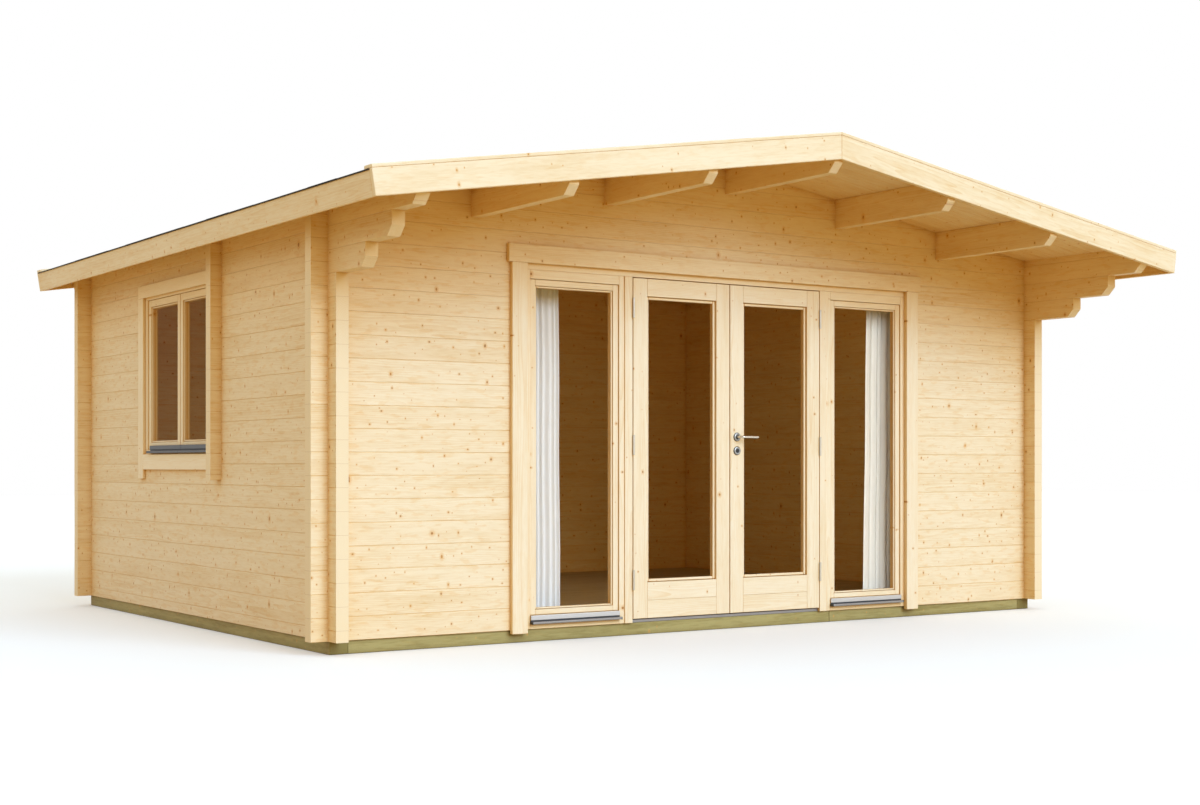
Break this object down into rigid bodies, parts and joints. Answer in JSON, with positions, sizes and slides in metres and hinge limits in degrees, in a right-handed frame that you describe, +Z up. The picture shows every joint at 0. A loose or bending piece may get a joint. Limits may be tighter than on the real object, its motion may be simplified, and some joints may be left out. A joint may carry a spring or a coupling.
{
  "type": "garden chalet",
  "caption": "Timber log cabin with a glazed double door between sidelights, a side window, log-end corners, stepped corbels and a low gabled roof with a deep front canopy.",
  "frame": {"origin": "middle of the footprint of the roof, on the ground", "axes": "+X to the right across the front, +Y to the back, +Z up"},
  "size_m": [5.726, 5.218, 2.7918],
  "materials": {
    "spruce": "planed untreated spruce logs with small knots",
    "planed_timber": "planed untreated spruce boards",
    "joinery": "smooth glued spruce joinery",
    "treated_timber": "pressure treated, greenish",
    "roof_felt": "dark grey mineral bitumen shingle",
    "glass": "clear double glazing",
    "aluminium": "satin silver aluminium section",
    "satin_steel": "satin stainless steel",
    "zinc_steel": "zinc plated steel",
    "curtain_cloth": "plain white woven curtain",
    "curtain_rail": "white painted rod"
  },
  "bodies": {
    "cabin": {"front_wall_left": "spruce", "front_wall_right": "spruce", "front_gable": "spruce", "rear_wall": "spruce", "left_wall_front": "spruce", "left_wall_rear": "spruce", "left_wall_under_window": "spruce", "left_third_logs": "spruce", "left_second_log": "spruce", "left_top_log": "spruce", "right_wall": "spruce", "right_third_log": "spruce", "right_second_log": "spruce", "right_top_log": "spruce", "window_brace": "spruce", "ridge_purlin": "planed_timber", "purlins_left": "planed_timber", "purlins_right": "planed_timber", "roof_deck_left": "planed_timber", "roof_deck_right": "planed_timber", "eave_fascias": "planed_timber", "barge_boards_left": "planed_timber", "barge_boards_right": "planed_timber", "verge_strips_left": "planed_timber", "verge_strips_right": "planed_timber", "floor_deck": "planed_timber", "door_frame_posts": "joinery", "door_frame_head": "joinery", "sidelight_rails": "joinery", "sidelight_sash_left": "joinery", "sidelight_sash_right": "joinery", "front_trim_sides": "joinery", "front_trim_head": "joinery", "window_frame_rails": "joinery", "window_frame_posts": "joinery", "window_sashes": "joinery", "window_trim_side": "joinery", "window_trim_head": "joinery", "window_trim_sill": "joinery", "base_beams_long": "treated_timber", "base_beams_side": "treated_timber", "roof_covering_left": "roof_felt", "roof_covering_right": "roof_felt", "fixed_glass": "glass", "drip_sills": "aluminium", "door_threshold": "aluminium", "hinges_frame": "zinc_steel", "curtain_left": "curtain_cloth", "curtain_right": "curtain_cloth", "curtain_rails": "curtain_rail"},
    "door_left": {"door_leaf_left": "joinery", "door_glass_left": "glass", "hinges_left": "zinc_steel"},
    "door_right": {"door_leaf_right": "joinery", "door_glass_right": "glass", "hinges_right": "zinc_steel", "lock_roses": "satin_steel"},
    "lever": {"door_lever": "satin_steel"}
  },
  "joints": [
    {"name": "left_door_swing", "type": "hinge", "parent": "cabin", "child": "door_left", "pos_m": [-0.7025, -1.634, 0.1], "axis": [0, 0, -1], "range_deg": [0, 110]},
    {"name": "right_door_swing", "type": "hinge", "parent": "cabin", "child": "door_right", "pos_m": [0.7025, -1.634, 0.1], "axis": [0, 0, 1], "range_deg": [0, 110]},
    {"name": "lever_turn", "type": "hinge", "parent": "door_right", "child": "lever", "pos_m": [0.053, -1.625, 1.138], "axis": [0, 1, 0], "range_deg": [0, 40], "stiffness_Nm_per_rad": 1}
  ]
}
